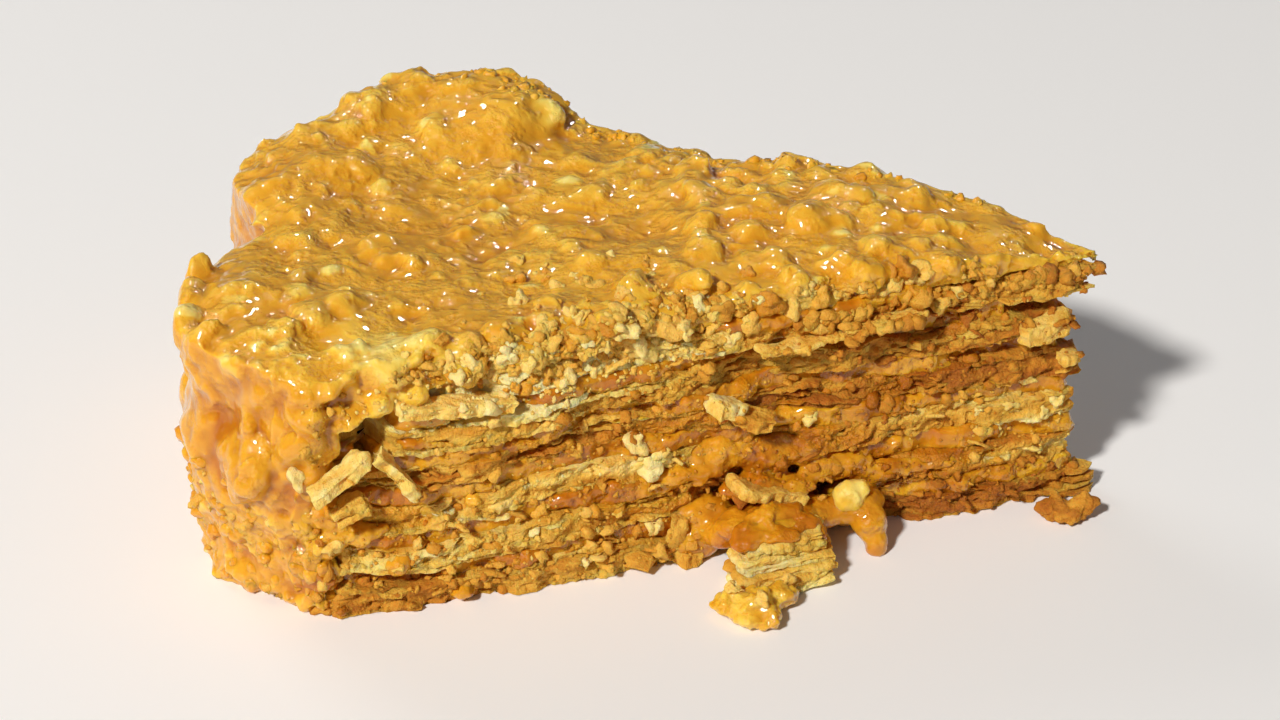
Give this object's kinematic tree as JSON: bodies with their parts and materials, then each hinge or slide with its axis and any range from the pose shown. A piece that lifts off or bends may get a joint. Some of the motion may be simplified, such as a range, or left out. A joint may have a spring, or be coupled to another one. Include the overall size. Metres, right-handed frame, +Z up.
{
  "type": "mille-feuille cake slice",
  "caption": "Wedge-shaped slice of layered puff pastry cake, with caramel cream between its flaky sheets and a lumpy caramel and crumb coat over the top and round the rim.",
  "frame": {"origin": "centre of the slice's box, at the level of the table that it stands on", "axes": "+X towards the slice's tip, +Z up, and -Y towards the cut face that shows in the picture"},
  "size_m": [0.1418, 0.0974, 0.0492],
  "materials": {
    "pastry": "dry baked puff pastry, flaky and crumbly",
    "cream": "soft glossy caramel cream",
    "caramel_coat": "glossy caramel cream with crumbs in it"
  },
  "bodies": {
    "root": {"pastry_sheet_1": "pastry", "pastry_sheet_2": "pastry", "pastry_sheet_3": "pastry", "pastry_sheet_4": "pastry", "pastry_sheet_5": "pastry", "pastry_sheet_6": "pastry", "cream_filling_1": "cream", "cream_filling_2": "cream", "cream_filling_3": "cream", "cream_filling_4": "cream", "cream_filling_5": "cream", "caramel_coat": "caramel_coat", "oozed_cream": "cream", "pastry_chunk": "pastry", "crumb_cluster": "pastry", "loose_crumb": "pastry"}
  },
  "joints": []
}
